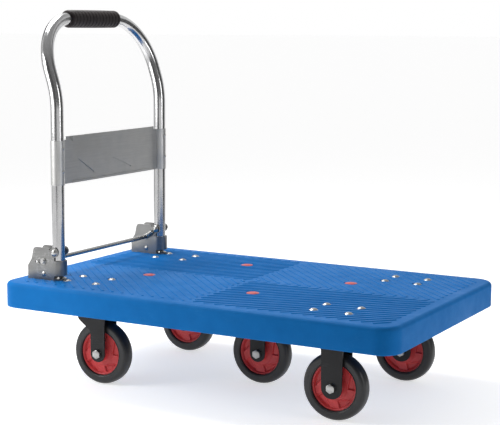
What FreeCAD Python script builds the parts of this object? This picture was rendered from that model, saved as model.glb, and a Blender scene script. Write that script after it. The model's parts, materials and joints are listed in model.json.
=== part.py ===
"""Folding platform cart: a moulded deck on five casters, with a handle that folds down over the deck.

Millimetres. The origin is on the floor under the middle of the deck. +X runs along the deck, away
from the handle. +Y is the left side of a person who stands at the handle and pushes. +Z is up.
The casters at the handle end and in the middle swivel. The two at the far end are fixed.
"""
import FreeCAD, Part
import math
import os

from FreeCAD import Vector

# ---- deck ----
deck_length = 900.0
deck_width = 564.0
deck_depth = 53.0
deck_corner_radius = 42.0
deck_top_rounding = 9.0
deck_bottom_rounding = 2.5
deck_skin = 5.0
deck_skirt = 5.0
deck_rib_wall = 3.0
deck_rib_bays_along = 11
deck_rib_bays_across = 7
deck_rib_rise = 1.5
bracket_pad_rise = 18.0
bracket_nut_pocket = 10.0
pad_length = 118.0
pad_width = 100.0
pad_corner = 6.0

# ---- anti-slip ribs on the deck ----
grip_rib_height = 1.2
grip_rib_width = 7.0
grip_rib_pitch = 17.0
grip_rib_border = 27.0
grip_rib_root = 0.2
grip_rib_middle_gap = 3.0
grip_rib_shortest = 12.0
land_clearance = 3.0

# ---- round plugs pressed into the deck ----
plug_centres = [(-220.0, -55.0), (-97.0, 160.0), (70.0, -117.0), (198.0, 80.0)]
plug_radius = 13.0
plug_depth = 4.0
plug_dome = 1.8
plug_lip = 0.6

# ---- wheels ----
wheel_radius = 67.0
tyre_wall = 20.0
tyre_width = 31.0
tyre_shoulder = 10.0
tyre_lip_round = 0.5
tyre_lip_drop = 1.5
hub_rim_wall = 3.0
hub_rim_width = 21.0
hub_rim_round = 0.8
hub_boss_radius = 14.0
hub_boss_width = 37.0
hub_boss_round = 1.0
hub_web_at_boss = 9.5
hub_web_at_rim = 7.0
hub_web_run = 3.0
hub_web_round = 1.5
hub_pockets = 5
hub_pocket_depth = 3.0
hub_pocket_start = 28.0
hub_pocket_turn = -76.0
hub_pocket_sweep = 46.0
hub_pocket_land = 1.5
hub_pocket_round = 1.2
bearing_radius = 9.5
sleeve_radius = 7.0
axle_radius = 5.0
running_clearance = 0.05
face_clearance = 0.35

# ---- casters ----
caster_head_room = 31.0
caster_side_inset = 110.0
swivel_end_inset = 155.0
middle_swivel_x = -5.0
fixed_end_inset = 164.0
trail = 35.5
plate_length = 98.0
plate_width = 82.0
plate_sheet = 3.5
plate_corner = 8.0
bolt_spacing_x = 74.0
bolt_spacing_y = 58.0
fork_sheet = 3.0
fork_side_clearance = 2.0
fork_end_roundness = 0.98
swivel_fork_end_radius = 17.5
fork_crown_radius = 36.0
fork_crown_drop = 12.5
fork_back = 14.0
fork_back_drop = 14.0
fork_back_round = 8.0
fork_waist = 38.0
fork_waist_round = 12.0
fork_bridge_corner = 6.0
fork_window_wall = 3.0
fork_window_corner = 5.0
fork_window_start = 12.0
fork_window_end = 9.0
fixed_fork_end_radius = 21.5
fixed_fork_half_top = 23.0
fixed_fork_crown_half = 29.0
fixed_fork_crown_drop = 4.0
fixed_fork_crown_round = 5.0
fixed_fork_neck_drop = 22.0
fixed_fork_neck_round = 16.0
race_radius = 26.0
race_wall = 3.0
race_pin_gap = 2.0
ball_radius = 2.5
balls_per_race = 18
kingpin_radius = 6.0
kingpin_head_radius = 10.0
kingpin_head_height = 5.0

# ---- hex bolts and nuts: across flats, head or nut height ----
axle_flats = 17.0
axle_head_height = 6.4
axle_nut_height = 8.0
kingpin_flats = 18.0
kingpin_nut_height = 9.0

# ---- deck bolts with domed heads ----
deck_bolt_radius = 4.0
deck_bolt_head_radius = 8.5
deck_bolt_head_height = 3.6
deck_bolt_hole_clearance = 0.3
deck_nut_flats = 13.0
deck_nut_height = 6.5
washer_radius = 8.0
washer_thickness = 1.6
bolt_end = 1.2

# ---- handle ----
pivot_end_inset = 95.0
pivot_height = 60.0
handle_side_inset = 84.0
tube_radius = 13.5
tube_wall = 1.5
tube_foot = 25.0
handle_rise = 549.0
lean_start_rise = 359.0
lean_angle = 18.0
lean_radius = 200.0
top_bend_radius = 114.0
grip_wall = 6.0
grip_length = 180.0
grip_fit_clearance = 0.02
grip_rings = 13
grip_groove = 1.4
grip_end_roundness = 0.9
foot_plug_wall = 2.0
foot_plug_depth = 12.0

# ---- panel between the uprights ----
panel_rise = 202.0
panel_height = 101.0
panel_sleeve_drop = 7.0
panel_end_gap = 14.0
panel_sheet = 2.0
sleeve_sheet = 1.3
panel_top_hem = 10.5
panel_bottom_hem = 4.5
panel_hem_rise = 1.6
panel_field_margin = 50.0
panel_screw_inset_low = 29.0
panel_screw_inset_high = 23.0
panel_screw_radius = 4.2
panel_screw_head = 2.2
panel_screw_shank = 2.0
panel_screw_run = 3.0
panel_groove_width = 3.4
panel_groove_depth = 1.3
panel_grooves_at = [(-97.5, 32.6, 65.4, -29.3), (38.5, 29.5, 75.3, -19.4)]

# ---- handle brackets ----
bracket_sheet = 3.0
bracket_side_clearance = 1.0
bracket_height = 68.5
bracket_back = 69.0
bracket_step_height = 28.0
bracket_neck_height = 43.0
bracket_neck_inset = 10.0
bracket_top_inset = 16.0
bracket_side_round = 8.0
bracket_foot_round = 2.0
bracket_ear_step = 2.0
bracket_shoulder_rise = 4.0
nose_bottom = 10.0
nose_clearance = 5.0
base_nose_reach = 14.0
base_nose_round = 15.0
ear_radius = 10.5
pivot_bolt_radius = 4.0
pivot_head_radius = 8.5
pivot_head_height = 4.5
pivot_nut_flats = 13.0
pivot_nut_height = 3.6
pivot_cap_radius = 9.0
pivot_cap_wall = 1.2
pivot_cap_round = 1.8
base_bolt_back = 53.0
base_bolt_front = 2.0
brace_pin_radius = 4.0
brace_pin_head = 6.0
brace_pin_head_height = 2.4
brace_pin_back = 27.0
brace_pin_height = 12.5
bracket_hole_radius = 2.8
bracket_hole_back = 46.5
bracket_hole_height = 37.0

# ---- foot rod that frees the handle ----
rod_radius = 4.75
rod_back = 28.0
rod_drop = 20.5
rod_travel = 8.0
rod_slope = 11.7
rod_overhang = 4.5
rod_end_chamfer = 0.8
rod_slot_clearance = 0.35
rod_clip_radius = 7.0
rod_clip_thickness = 1.2
rod_clip_gap = 4.0
rod_groove_depth = 0.8

# ---- return springs of the foot rod ----
spring_wire = 1.4
spring_coil_radius = 4.0
spring_eye_clearance = 0.4
spring_side_clearance = 0.3
spring_cap_clearance = 0.8
spring_neck_inset = 0.3

# ---- values that follow from the sizes above ----
caster_height = 2 * wheel_radius + caster_head_room
deck_bottom_z = caster_height
deck_top_z = deck_bottom_z + deck_depth
half_length = deck_length / 2
half_width = deck_width / 2
bolt_head_land = deck_bolt_head_radius + land_clearance
tyre_inner_radius = wheel_radius - tyre_wall
hub_rim_inner = tyre_inner_radius - hub_rim_wall
fork_gap = hub_boss_width + 2 * fork_side_clearance
swivel_x = -half_length + swivel_end_inset
fixed_x = half_length - fixed_end_inset
caster_y = half_width - caster_side_inset
plate_bottom_z = caster_height - plate_sheet
crown_top_z = caster_height - fork_crown_drop
fork_half_gap = fork_gap / 2
fork_half_outside = fork_half_gap + fork_sheet
pivot_x = -half_length + pivot_end_inset
pivot_z = deck_top_z + pivot_height
nose_top = pivot_height - tube_radius - nose_clearance
handle_half_width = half_width - handle_side_inset
handle_height = deck_top_z + handle_rise
lean_start = deck_top_z + lean_start_rise
grip_radius = tube_radius + grip_wall
grip_end_rounding = grip_wall * grip_end_roundness
panel_bottom = deck_top_z + panel_rise
panel_top = panel_bottom + panel_height
panel_sleeve_top = panel_top - panel_sleeve_drop
panel_screw_heights = [panel_bottom + panel_screw_inset_low, panel_top - panel_screw_inset_high]
spring_stand_off = spring_neck_inset + spring_wire + 2 * spring_side_clearance
spring_coil_start = pivot_cap_radius + spring_cap_clearance
tube_foot_z = pivot_z - tube_foot
rod_x = pivot_x - rod_back
rod_z = pivot_z - rod_drop
cheek_inside = tube_radius + bracket_side_clearance
cheek_outside = cheek_inside + bracket_sheet
bolt_hole_radius = deck_bolt_radius + deck_bolt_hole_clearance
bracket_seat_z = deck_bottom_z + bracket_pad_rise

UP = Vector(0, 0, 1)
ALONG = Vector(1, 0, 0)
LEFT = Vector(0, 1, 0)

BOLT_CORNERS = [(sx * bolt_spacing_x / 2, sy * bolt_spacing_y / 2) for sx in (-1, 1) for sy in (-1, 1)]
SWIVELS = {
    "rear_right": (swivel_x, -caster_y),
    "rear_left": (swivel_x, caster_y),
    "middle": (middle_swivel_x, 0.0),
}
FIXED = {"front_right": (fixed_x, -caster_y), "front_left": (fixed_x, caster_y)}
SIDES = {"right": -handle_half_width, "left": handle_half_width}


# ---- general solids ----
def box(low, high):
    """Box between two opposite corners."""
    size = [b - a for a, b in zip(low, high)]
    return Part.makeBox(*size, Vector(*low))


def rod_between(radius, start, end):
    """Round bar from start to end."""
    way = end - start
    return Part.makeCylinder(radius, way.Length, start, way)


def ring(outer, inner, start, end):
    """Round tube from start to end."""
    return rod_between(outer, start, end).cut(rod_between(inner, start, end))


def in_side_view(a, b):
    """A point of a side view: a along X, b up."""
    return Vector(a, 0, b)


def in_plan(a, b):
    """A point of a plan: a along X, b along Y."""
    return Vector(a, b, 0)


def in_end_view(a, b):
    """A point of an end view: a along Y, b up."""
    return Vector(0, a, b)


def outline(corners, view):
    """Closed face through corners (a, b, r), each rounded to its radius r."""
    points = [view(a, b) for a, b, _ in corners]
    arcs = []
    ends = []
    for i, (_, _, radius) in enumerate(corners):
        here = points[i]
        back = (points[i - 1] - here).normalize()
        on = (points[(i + 1) % len(points)] - here).normalize()
        if radius <= 0:
            ends.append((here, here))
            continue
        half = back.getAngle(on) / 2
        run = radius / math.tan(half)
        middle = here + (back + on).normalize() * (radius / math.sin(half) - radius)
        ends.append((here + back * run, here + on * run))
        arcs.append(Part.Arc(ends[-1][0], middle, ends[-1][1]).toShape())
    lines = []
    for i, (_, leaves) in enumerate(ends):
        arrives = ends[(i + 1) % len(ends)][0]
        if (arrives - leaves).Length > 1e-6:
            lines.append(Part.LineSegment(leaves, arrives).toShape())
    return Part.Face(Part.Wire(Part.__sortEdges__(arcs + lines)))


def plate(corners, view, start, depth):
    """Flat plate: an outline drawn at start and made depth thick."""
    face = outline(corners, view)
    face.translate(start)
    return face.extrude(depth)


def turned(profile, centre, axis):
    """Solid of revolution. The profile holds (distance from the axis, place along it, corner radius)."""
    return spun(outline(profile, in_side_view), centre, axis)


def spun(face, centre, axis):
    """Turn a face of the side view round the upright axis, then stand it at centre along axis."""
    solid = face.revolve(Vector(0, 0, 0), UP, 360)
    solid.Placement = FreeCAD.Placement(centre, FreeCAD.Rotation(UP, axis)).multiply(solid.Placement)
    return solid


def hexagon(flats, start, way):
    """Hexagonal prism with chamfered corners, as on a bolt head or a nut."""
    corner = flats / math.sqrt(3)
    turn = FreeCAD.Rotation(UP, way)
    rim = [Vector(corner * math.cos(a), corner * math.sin(a), 0)
           for a in [math.radians(60 * i + 30) for i in range(7)]]
    prism = Part.Face(Part.makePolygon(rim)).extrude(UP * way.Length)
    chamfer = (corner - flats / 2) * 1.1
    dome = turned([(0, 0, 0), (corner + 1, 0, 0), (corner + 1, way.Length - chamfer, 0),
                   (flats / 2 * 0.95, way.Length, 0), (0, way.Length, 0)], Vector(0, 0, 0), UP)
    prism = prism.common(dome)
    prism.Placement = FreeCAD.Placement(start, turn)
    return prism


def nut(flats, bore, start, way):
    """Hex nut with a plain bore."""
    return hexagon(flats, start, way).cut(rod_between(bore, start - way, start + way * 2))


def dome_head(radius, height, start, way):
    """Low domed bolt head that stands on start."""
    bulge = (radius * radius + height * height) / (2 * height)
    half_turn = math.asin(radius / bulge) / 2
    rim, crest = Vector(radius, 0, 0), Vector(0, 0, height)
    between = Vector(bulge * math.sin(half_turn), 0, height - bulge * (1 - math.cos(half_turn)))
    edges = [Part.LineSegment(Vector(0, 0, 0), rim).toShape(), Part.Arc(rim, between, crest).toShape(),
             Part.LineSegment(crest, Vector(0, 0, 0)).toShape()]
    return spun(Part.Face(Part.Wire(edges)), start, way)


def save(name, shape):
    """Write one sub-part to its own STEP file."""
    shape.exportStep("parts/" + name + ".step")


def group(solids):
    """Separate solids kept together as one sub-part."""
    return Part.makeCompound(solids)


# ---- deck ----
def deck_bolt_places():
    """Centres of the domed bolts that hold the four corner casters."""
    corners = [SWIVELS["rear_right"], SWIVELS["rear_left"], FIXED["front_right"], FIXED["front_left"]]
    return [(x + dx, y + dy) for x, y in corners for dx, dy in BOLT_CORNERS]


def middle_screw_places():
    """Centres of the screws that hold the middle caster from below."""
    x, y = SWIVELS["middle"]
    return [(x + dx, y + dy) for dx, dy in BOLT_CORNERS]


def bracket_bolt_places():
    """Centres of the bolts that hold the handle brackets."""
    return [(pivot_x + dx, y) for y in SIDES.values() for dx in (-base_bolt_back, base_bolt_front)]


def slab(inset, low, high):
    """Rounded rectangle in plan, inset from the deck's outline, from low to high."""
    x, y = half_length - inset, half_width - inset
    radius = deck_corner_radius - inset
    corners = [(-x, -y, radius), (x, -y, radius), (x, y, radius), (-x, y, radius)]
    return plate(corners, in_plan, Vector(0, 0, low), UP * (high - low))


def rim_edges(shape, z):
    """Edges of a shape that lie flat at height z."""
    return [e for e in shape.Edges if abs(e.BoundBox.ZMin - z) < 1e-4 and abs(e.BoundBox.ZMax - z) < 1e-4]


def deck_stiffeners():
    """Walls under the deck's skin, in a grid."""
    low, high = deck_bottom_z + deck_rib_rise, deck_top_z - deck_skin / 2
    reach_x, reach_y = half_length - deck_skirt / 2, half_width - deck_skirt / 2
    walls = []
    for i in range(1, deck_rib_bays_along):
        x = -half_length + deck_length * i / deck_rib_bays_along
        walls.append(box((x - deck_rib_wall / 2, -reach_y, low), (x + deck_rib_wall / 2, reach_y, high)))
    for i in range(1, deck_rib_bays_across):
        y = -half_width + deck_width * i / deck_rib_bays_across
        walls.append(box((-reach_x, y - deck_rib_wall / 2, low), (reach_x, y + deck_rib_wall / 2, high)))
    return walls


def caster_pads():
    """Solid blocks under the skin, one over each caster, and one under each handle bracket."""
    low, high = deck_bottom_z, deck_top_z - deck_skin / 2
    pads = []
    for x, y in list(SWIVELS.values()) + list(FIXED.values()):
        dx, dy = pad_length / 2, pad_width / 2
        corners = [(x - dx, y - dy, pad_corner), (x + dx, y - dy, pad_corner),
                   (x + dx, y + dy, pad_corner), (x - dx, y + dy, pad_corner)]
        pads.append(plate(corners, in_plan, Vector(0, 0, low), UP * (high - low)))
    for y in SIDES.values():
        back, front = pivot_x - base_bolt_back - cheek_outside, pivot_x + base_bolt_front + cheek_outside
        pads.append(box((back, y - cheek_outside, low + bracket_pad_rise), (front, y + cheek_outside, high)))
    return pads


def quadrant_ribs(sign_x, sign_y):
    """Diagonal anti-slip ribs of one quarter of the deck. The four quarters make a pinwheel."""
    x0, x1 = sorted((sign_x * grip_rib_middle_gap, sign_x * (half_length - grip_rib_border)))
    y0, y1 = sorted((sign_y * grip_rib_middle_gap, sign_y * (half_width - grip_rib_border)))
    slant = -1 if sign_x == sign_y else 1
    step = grip_rib_pitch * math.sqrt(2)
    inset = grip_rib_width / 2
    ribs = []
    offsets = [y - slant * x for x in (x0, x1) for y in (y0, y1)]
    first, last = math.ceil(min(offsets) / step), math.floor(max(offsets) / step)
    for i in range(first, last + 1):
        crossing = [(x, slant * x + i * step) for x in (x0 + inset, x1 - inset)]
        crossing += [((y - i * step) / slant, y) for y in (y0 + inset, y1 - inset)]
        inside = [(x, y) for x, y in crossing
                  if x0 + inset - 1e-6 <= x <= x1 - inset + 1e-6 and y0 + inset - 1e-6 <= y <= y1 - inset + 1e-6]
        if len(inside) < 2:
            continue
        start, end = Vector(*min(inside), 0), Vector(*max(inside), 0)
        if (end - start).Length < grip_rib_shortest:
            continue
        ribs.append(grip_rib(start, end))
    return ribs


def grip_rib(start, end):
    """One raised rib with round ends and sloping sides, from start to end in plan."""
    way = (end - start).normalize()
    side = UP.cross(way)
    low, high = grip_rib_width / 2, grip_rib_width / 2 - grip_rib_height
    sections = []
    for half, z in ((low, deck_top_z - grip_rib_root), (high, deck_top_z + grip_rib_height)):
        lift = UP * z
        a, b = start + side * half + lift, end + side * half + lift
        c, d = end - side * half + lift, start - side * half + lift
        edges = [Part.LineSegment(a, b).toShape(), Part.Arc(b, end + way * half + lift, c).toShape(),
                 Part.LineSegment(c, d).toShape(), Part.Arc(d, start - way * half + lift, a).toShape()]
        sections.append(Part.Wire(edges))
    return Part.makeLoft(sections, True, True)


def lands():
    """Flat round lands and bracket seats that stay free of ribs."""
    low, high = deck_top_z - grip_rib_root * 2, deck_top_z + grip_rib_height * 2
    round_ones = [(x, y, plug_radius + land_clearance) for x, y in plug_centres]
    round_ones += [(x, y, bolt_head_land) for x, y in deck_bolt_places()]
    solids = [rod_between(r, Vector(x, y, low), Vector(x, y, high)) for x, y, r in round_ones]
    reach = cheek_outside + land_clearance
    for y in SIDES.values():
        back, front = pivot_x - bracket_back - land_clearance, pivot_x + reach
        solids.append(box((back, y - reach, low), (front, y + reach, high)))
    return solids


def make_deck():
    """Moulded deck: skin, skirt, stiffeners and pads, with its holes and anti-slip ribs."""
    block = slab(0, deck_bottom_z, deck_top_z)
    block = block.makeFillet(deck_top_rounding, rim_edges(block, deck_top_z))
    block = block.makeFillet(deck_bottom_rounding, rim_edges(block, deck_bottom_z))
    hollow = slab(deck_skirt, deck_bottom_z - 1, deck_top_z - deck_skin)
    inside = Part.Compound(deck_stiffeners() + caster_pads()).common(block)
    shell = block.cut(hollow).fuse([s for s in inside.Solids])
    holes = []
    for x, y in deck_bolt_places() + bracket_bolt_places():
        holes.append(rod_between(bolt_hole_radius, Vector(x, y, deck_bottom_z - 1), Vector(x, y, deck_top_z + 1)))
    for x, y in middle_screw_places():
        top = deck_top_z - deck_skin * 2
        holes.append(rod_between(deck_bolt_radius, Vector(x, y, deck_bottom_z - 1), Vector(x, y, top)))
    for x, y in plug_centres:
        holes.append(rod_between(plug_radius, Vector(x, y, deck_top_z - plug_depth), Vector(x, y, deck_top_z + 1)))
    for x, y in SWIVELS.values():
        pocket = kingpin_head_height + face_clearance
        holes.append(rod_between(kingpin_head_radius + face_clearance, Vector(x, y, deck_bottom_z - 1),
                                 Vector(x, y, deck_bottom_z + pocket)))
    for x, y in bracket_bolt_places():
        holes.append(rod_between(bracket_nut_pocket, Vector(x, y, deck_bottom_z - 1),
                                 Vector(x, y, bracket_seat_z)))
    shell = shell.cut(holes)
    ribs = [r for sx in (-1, 1) for sy in (-1, 1) for r in quadrant_ribs(sx, sy)]
    field = Part.Compound(ribs).cut(lands())
    return shell.fuse(field.Solids)


def make_plugs():
    """Round domed plugs pressed into the deck's top."""
    plugs = []
    for x, y in plug_centres:
        base = Vector(x, y, deck_top_z - plug_depth)
        body = rod_between(plug_radius, base, base + UP * (plug_depth + plug_lip))
        plugs.append(body.fuse(dome_head(plug_radius, plug_dome, base + UP * (plug_depth + plug_lip), UP)))
    return group(plugs)


# ---- fasteners in the deck ----
def domed_bolt(x, y, head_z, end_z):
    """Bolt with a low domed head, standing on head_z and ending at end_z."""
    seat = Vector(x, y, head_z)
    shank = rod_between(deck_bolt_radius, Vector(x, y, end_z), seat)
    return shank.fuse(dome_head(deck_bolt_head_radius, deck_bolt_head_height, seat, UP))


def washer(x, y, top_z):
    """Flat washer under top_z."""
    return ring(washer_radius, bolt_hole_radius, Vector(x, y, top_z - washer_thickness), Vector(x, y, top_z))


def make_deck_bolts():
    end_z = plate_bottom_z - deck_nut_height - bolt_end
    return group([domed_bolt(x, y, deck_top_z, end_z) for x, y in deck_bolt_places()])


def make_deck_nuts():
    drop = Vector(0, 0, -deck_nut_height)
    return group([nut(deck_nut_flats, deck_bolt_radius, Vector(x, y, plate_bottom_z), drop)
                  for x, y in deck_bolt_places()])


def make_middle_screws():
    """Hex screws that hold the middle caster's plate from below."""
    screws = []
    for x, y in middle_screw_places():
        top = Vector(x, y, deck_top_z - deck_skin * 2)
        shank = rod_between(deck_bolt_radius, Vector(x, y, plate_bottom_z), top)
        head = hexagon(deck_nut_flats, Vector(x, y, plate_bottom_z), Vector(0, 0, -deck_nut_height + 1))
        screws.append(shank.fuse(head))
    return group(screws)


def make_bracket_bolts():
    """Bolts through each bracket's base and the deck."""
    end_z = bracket_seat_z - washer_thickness - deck_nut_height - bolt_end
    seat = deck_top_z + bracket_sheet
    return group([domed_bolt(x, y, seat, end_z) for x, y in bracket_bolt_places()])


def make_bracket_washers():
    return group([washer(x, y, bracket_seat_z) for x, y in bracket_bolt_places()])


def make_bracket_nuts():
    top = bracket_seat_z - washer_thickness
    drop = Vector(0, 0, -deck_nut_height)
    return group([nut(deck_nut_flats, deck_bolt_radius, Vector(x, y, top), drop)
                  for x, y in bracket_bolt_places()])


# ---- wheels ----
def make_tyre(x, y):
    """Solid rubber tyre with rounded shoulders."""
    half = tyre_width / 2
    rim_half = hub_rim_width / 2
    lip = tyre_inner_radius + tyre_lip_drop
    profile = [(tyre_inner_radius, -rim_half, 0), (lip, -half, tyre_lip_round),
               (wheel_radius, -half, tyre_shoulder), (wheel_radius, half, tyre_shoulder),
               (lip, half, tyre_lip_round), (tyre_inner_radius, rim_half, 0)]
    return turned(profile, Vector(x, y, wheel_radius), LEFT)


def hub_pocket(face_y, way):
    """One pocket of a hub's face, cut from above the web down into it, round an axis at the origin."""
    outer = hub_rim_inner - hub_pocket_land
    start = math.radians(hub_pocket_turn)
    turns = [start + math.radians(hub_pocket_sweep) * i / 3 for i in range(4)]
    rim = [(outer * math.cos(a), outer * math.sin(a), hub_pocket_round) for a in turns]
    apex = (hub_pocket_start * math.cos(start), hub_pocket_start * math.sin(start), hub_pocket_round)
    floor = way * (face_y - hub_pocket_depth)
    return plate([apex] + rim, in_side_view, LEFT * floor, LEFT * (way * hub_boss_width))


def make_hub(x, y):
    """Moulded wheel centre: rim, boss and dished web, with a ring of pockets in both faces."""
    centre = Vector(x, y, wheel_radius)
    half_side = [(bearing_radius, hub_boss_width / 2, 0),
                 (hub_boss_radius, hub_boss_width / 2, hub_boss_round),
                 (hub_boss_radius + hub_web_run, hub_web_at_boss, hub_web_round),
                 (hub_rim_inner, hub_web_at_rim, hub_web_round),
                 (hub_rim_inner + hub_rim_round, hub_rim_width / 2, hub_rim_round / 2),
                 (tyre_inner_radius, hub_rim_width / 2, 0)]
    profile = [(r, -a, c) for r, a, c in half_side] + half_side[::-1]
    hub = turned(profile, Vector(0, 0, 0), LEFT)
    cuts = []
    for way in (-1, 1):
        for i in range(hub_pockets):
            pocket = hub_pocket(hub_web_at_rim, way)
            pocket.rotate(Vector(0, 0, 0), LEFT, 360 * i / hub_pockets)
            cuts.append(pocket)
    hub = hub.cut(cuts)
    hub.translate(centre)
    return hub


def make_bearing(x, y):
    """Plain bearing tube pressed into the hub."""
    half = Vector(0, hub_boss_width / 2, 0)
    centre = Vector(x, y, wheel_radius)
    return ring(bearing_radius, sleeve_radius + running_clearance, centre - half, centre + half)


def make_sleeve(x, y):
    """Spacer sleeve on the axle, clamped between the fork's legs."""
    half = Vector(0, fork_half_gap, 0)
    centre = Vector(x, y, wheel_radius)
    return ring(sleeve_radius, axle_radius, centre - half, centre + half)


def make_axle(x, y):
    """Hex bolt through the fork, head on the right-hand side."""
    head = Vector(x, y - fork_half_outside, wheel_radius)
    end = Vector(x, y + fork_half_outside + axle_nut_height + bolt_end, wheel_radius)
    return rod_between(axle_radius, head, end).fuse(hexagon(axle_flats, head, LEFT * -axle_head_height))


def make_axle_nut(x, y):
    seat = Vector(x, y + fork_half_outside, wheel_radius)
    return nut(axle_flats, axle_radius, seat, LEFT * axle_nut_height)


# ---- casters ----
def top_plate_blank(x, y):
    """Rounded plate with its four bolt holes."""
    dx, dy = plate_length / 2, plate_width / 2
    corners = [(x - dx, y - dy, plate_corner), (x + dx, y - dy, plate_corner),
               (x + dx, y + dy, plate_corner), (x - dx, y + dy, plate_corner)]
    blank = plate(corners, in_plan, Vector(0, 0, plate_bottom_z), UP * plate_sheet)
    holes = [rod_between(bolt_hole_radius, Vector(x + a, y + b, plate_bottom_z - 1),
                         Vector(x + a, y + b, caster_height + 1)) for a, b in BOLT_CORNERS]
    return blank.cut(holes)


def make_swivel_plate(x, y):
    """Top plate of a swivel caster, with the upper ball race pressed into its underside."""
    blank = top_plate_blank(x, y)
    skirt_z = crown_top_z + face_clearance
    ball_top = crown_top_z + face_clearance + 2 * ball_radius
    outer = race_radius + ball_radius + race_wall
    inner = kingpin_radius + race_pin_gap
    race = turned([(inner, plate_bottom_z, 0), (inner, ball_top, 0),
                   (outer - race_wall, ball_top, 0), (outer - race_wall, skirt_z, 0), (outer, skirt_z, 0),
                   (outer, plate_bottom_z, 0)], Vector(x, y, 0), UP)
    hole = rod_between(kingpin_radius, Vector(x, y, crown_top_z), Vector(x, y, caster_height + 1))
    return blank.fuse(race).cut(hole)


def make_balls():
    """Balls of the three swivel bearings."""
    balls = []
    for x, y in SWIVELS.values():
        for i in range(balls_per_race):
            a = 2 * math.pi * i / balls_per_race
            z = crown_top_z + face_clearance + ball_radius
            balls.append(Part.makeSphere(ball_radius, Vector(x + race_radius * math.cos(a),
                                                             y + race_radius * math.sin(a), z)))
    return group(balls)


def make_kingpin(x, y):
    """Pin the fork swivels on, with its head in the deck's pocket."""
    low = crown_top_z - fork_sheet - face_clearance - kingpin_nut_height - bolt_end
    head = Vector(x, y, caster_height)
    pin = rod_between(kingpin_radius, Vector(x, y, low), head)
    return pin.fuse(rod_between(kingpin_head_radius, head, head + UP * kingpin_head_height))


def make_kingpin_nut(x, y):
    seat = Vector(x, y, crown_top_z - fork_sheet - face_clearance)
    return nut(kingpin_flats, kingpin_radius, seat, UP * -kingpin_nut_height)


def fork_legs(corners, x, y):
    """Two legs of the same side outline, either side of the wheel, with the axle hole."""
    hole_start = Vector(x, y - fork_half_outside - 1, wheel_radius)
    hole = rod_between(axle_radius, hole_start, hole_start + LEFT * (2 * fork_half_outside + 2))
    legs = [plate(corners, in_side_view, Vector(0, y + start, 0), LEFT * fork_sheet)
            for start in (-fork_half_outside, fork_half_gap)]
    return [leg.cut(hole) for leg in legs]


def make_swivel_fork(x, y):
    """Pressed fork of a swivel caster: a round crown under the ball race and two legs that trail."""
    axle_x, end = x + trail, swivel_fork_end_radius
    top = crown_top_z - fork_sheet
    back, front, half = x - fork_back, axle_x + end, fork_half_outside
    crown = rod_between(fork_crown_radius, Vector(x, y, top), Vector(x, y, crown_top_z))
    bridge = plate([(back, -half, fork_bridge_corner), (front, -half, fork_bridge_corner),
                    (front, half, fork_bridge_corner), (back, half, fork_bridge_corner)],
                   in_plan, Vector(0, y, top), UP * fork_sheet)
    start, stop = axle_x - fork_window_start, front + fork_window_end
    side = fork_half_gap - fork_window_wall
    window = plate([(start, -side, fork_window_corner), (stop, -side, fork_window_corner),
                    (stop, side, fork_window_corner), (start, side, fork_window_corner)],
                   in_plan, Vector(0, y, top - 1), UP * (fork_sheet + 2))
    low, tip = wheel_radius - end, end * fork_end_roundness
    corners = [(axle_x - end, low, tip), (front, low, tip), (front, crown_top_z, fork_sheet),
               (back, crown_top_z, fork_sheet), (back, crown_top_z - fork_back_drop, fork_back_round),
               (axle_x - end, crown_top_z - fork_waist, fork_waist_round)]
    body = crown.fuse([bridge]).cut(window).fuse(fork_legs(corners, axle_x, y))
    hole = rod_between(kingpin_radius + running_clearance, Vector(x, y, top - 1), Vector(x, y, crown_top_z + 1))
    return body.cut(hole).removeSplitter()


def make_fixed_fork(x, y):
    """Fixed caster pressed in one piece: top plate, crown and two straight legs."""
    blank = top_plate_blank(x, y)
    end, half, crown = fixed_fork_end_radius, fixed_fork_half_top, fixed_fork_crown_half
    low, top = wheel_radius - end, plate_bottom_z
    tip, neck, flare = end * fork_end_roundness, top - fixed_fork_neck_drop, top - fixed_fork_crown_drop
    corners = [(x - end, low, tip), (x + end, low, tip), (x + half, neck, fixed_fork_neck_round),
               (x + crown, flare, fixed_fork_crown_round), (x + crown, top + 1, 0), (x - crown, top + 1, 0),
               (x - crown, flare, fixed_fork_crown_round), (x - half, neck, fixed_fork_neck_round)]
    return blank.fuse(fork_legs(corners, x, y)).removeSplitter()


# ---- handle ----
def handle_route():
    """Centre line of the bent tube, from the right foot over the top to the left foot."""
    lean = math.radians(lean_angle)
    half, bend = handle_half_width, top_bend_radius
    way = Vector(-math.sin(lean), 0, math.cos(lean))
    lean_end = Vector(pivot_x - lean_radius * (1 - math.cos(lean)), 0, lean_start + lean_radius * math.sin(lean))
    lean_middle = Vector(pivot_x - lean_radius * (1 - math.cos(lean / 2)), 0,
                         lean_start + lean_radius * math.sin(lean / 2))
    run = (handle_height - lean_end.z) / way.z
    top = lean_end + way * run
    shoulder = top - way * bend
    knee = shoulder + way * (bend * math.sin(math.pi / 4))
    aside = bend * (1 - math.cos(math.pi / 4))
    right, left = LEFT * -half, LEFT * half
    foot, start = Vector(pivot_x, 0, tube_foot_z), Vector(pivot_x, 0, lean_start)
    edges = []
    for side, inward in ((right, 1), (left, -1)):
        edges += [Part.LineSegment(foot + side, start + side).toShape(),
                  Part.Arc(start + side, lean_middle + side, lean_end + side).toShape(),
                  Part.LineSegment(lean_end + side, shoulder + side).toShape(),
                  Part.Arc(shoulder + side, knee + side + LEFT * (inward * aside),
                           top + side + LEFT * (inward * bend)).toShape()]
    edges.append(Part.LineSegment(top + right + LEFT * bend, top + left - LEFT * bend).toShape())
    return Part.Wire(Part.__sortEdges__(edges)), top


def swept(route, radius):
    """Round bar along a route."""
    start = Vector(pivot_x, -handle_half_width, tube_foot_z)
    ends = [v.Point for v in (route.OrderedVertexes[0], route.OrderedVertexes[-1])]
    start = min(ends, key=lambda p: (p - start).Length)
    section = Part.Wire(Part.makeCircle(radius, start, UP))
    return route.makePipeShell([section], True, False)


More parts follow.
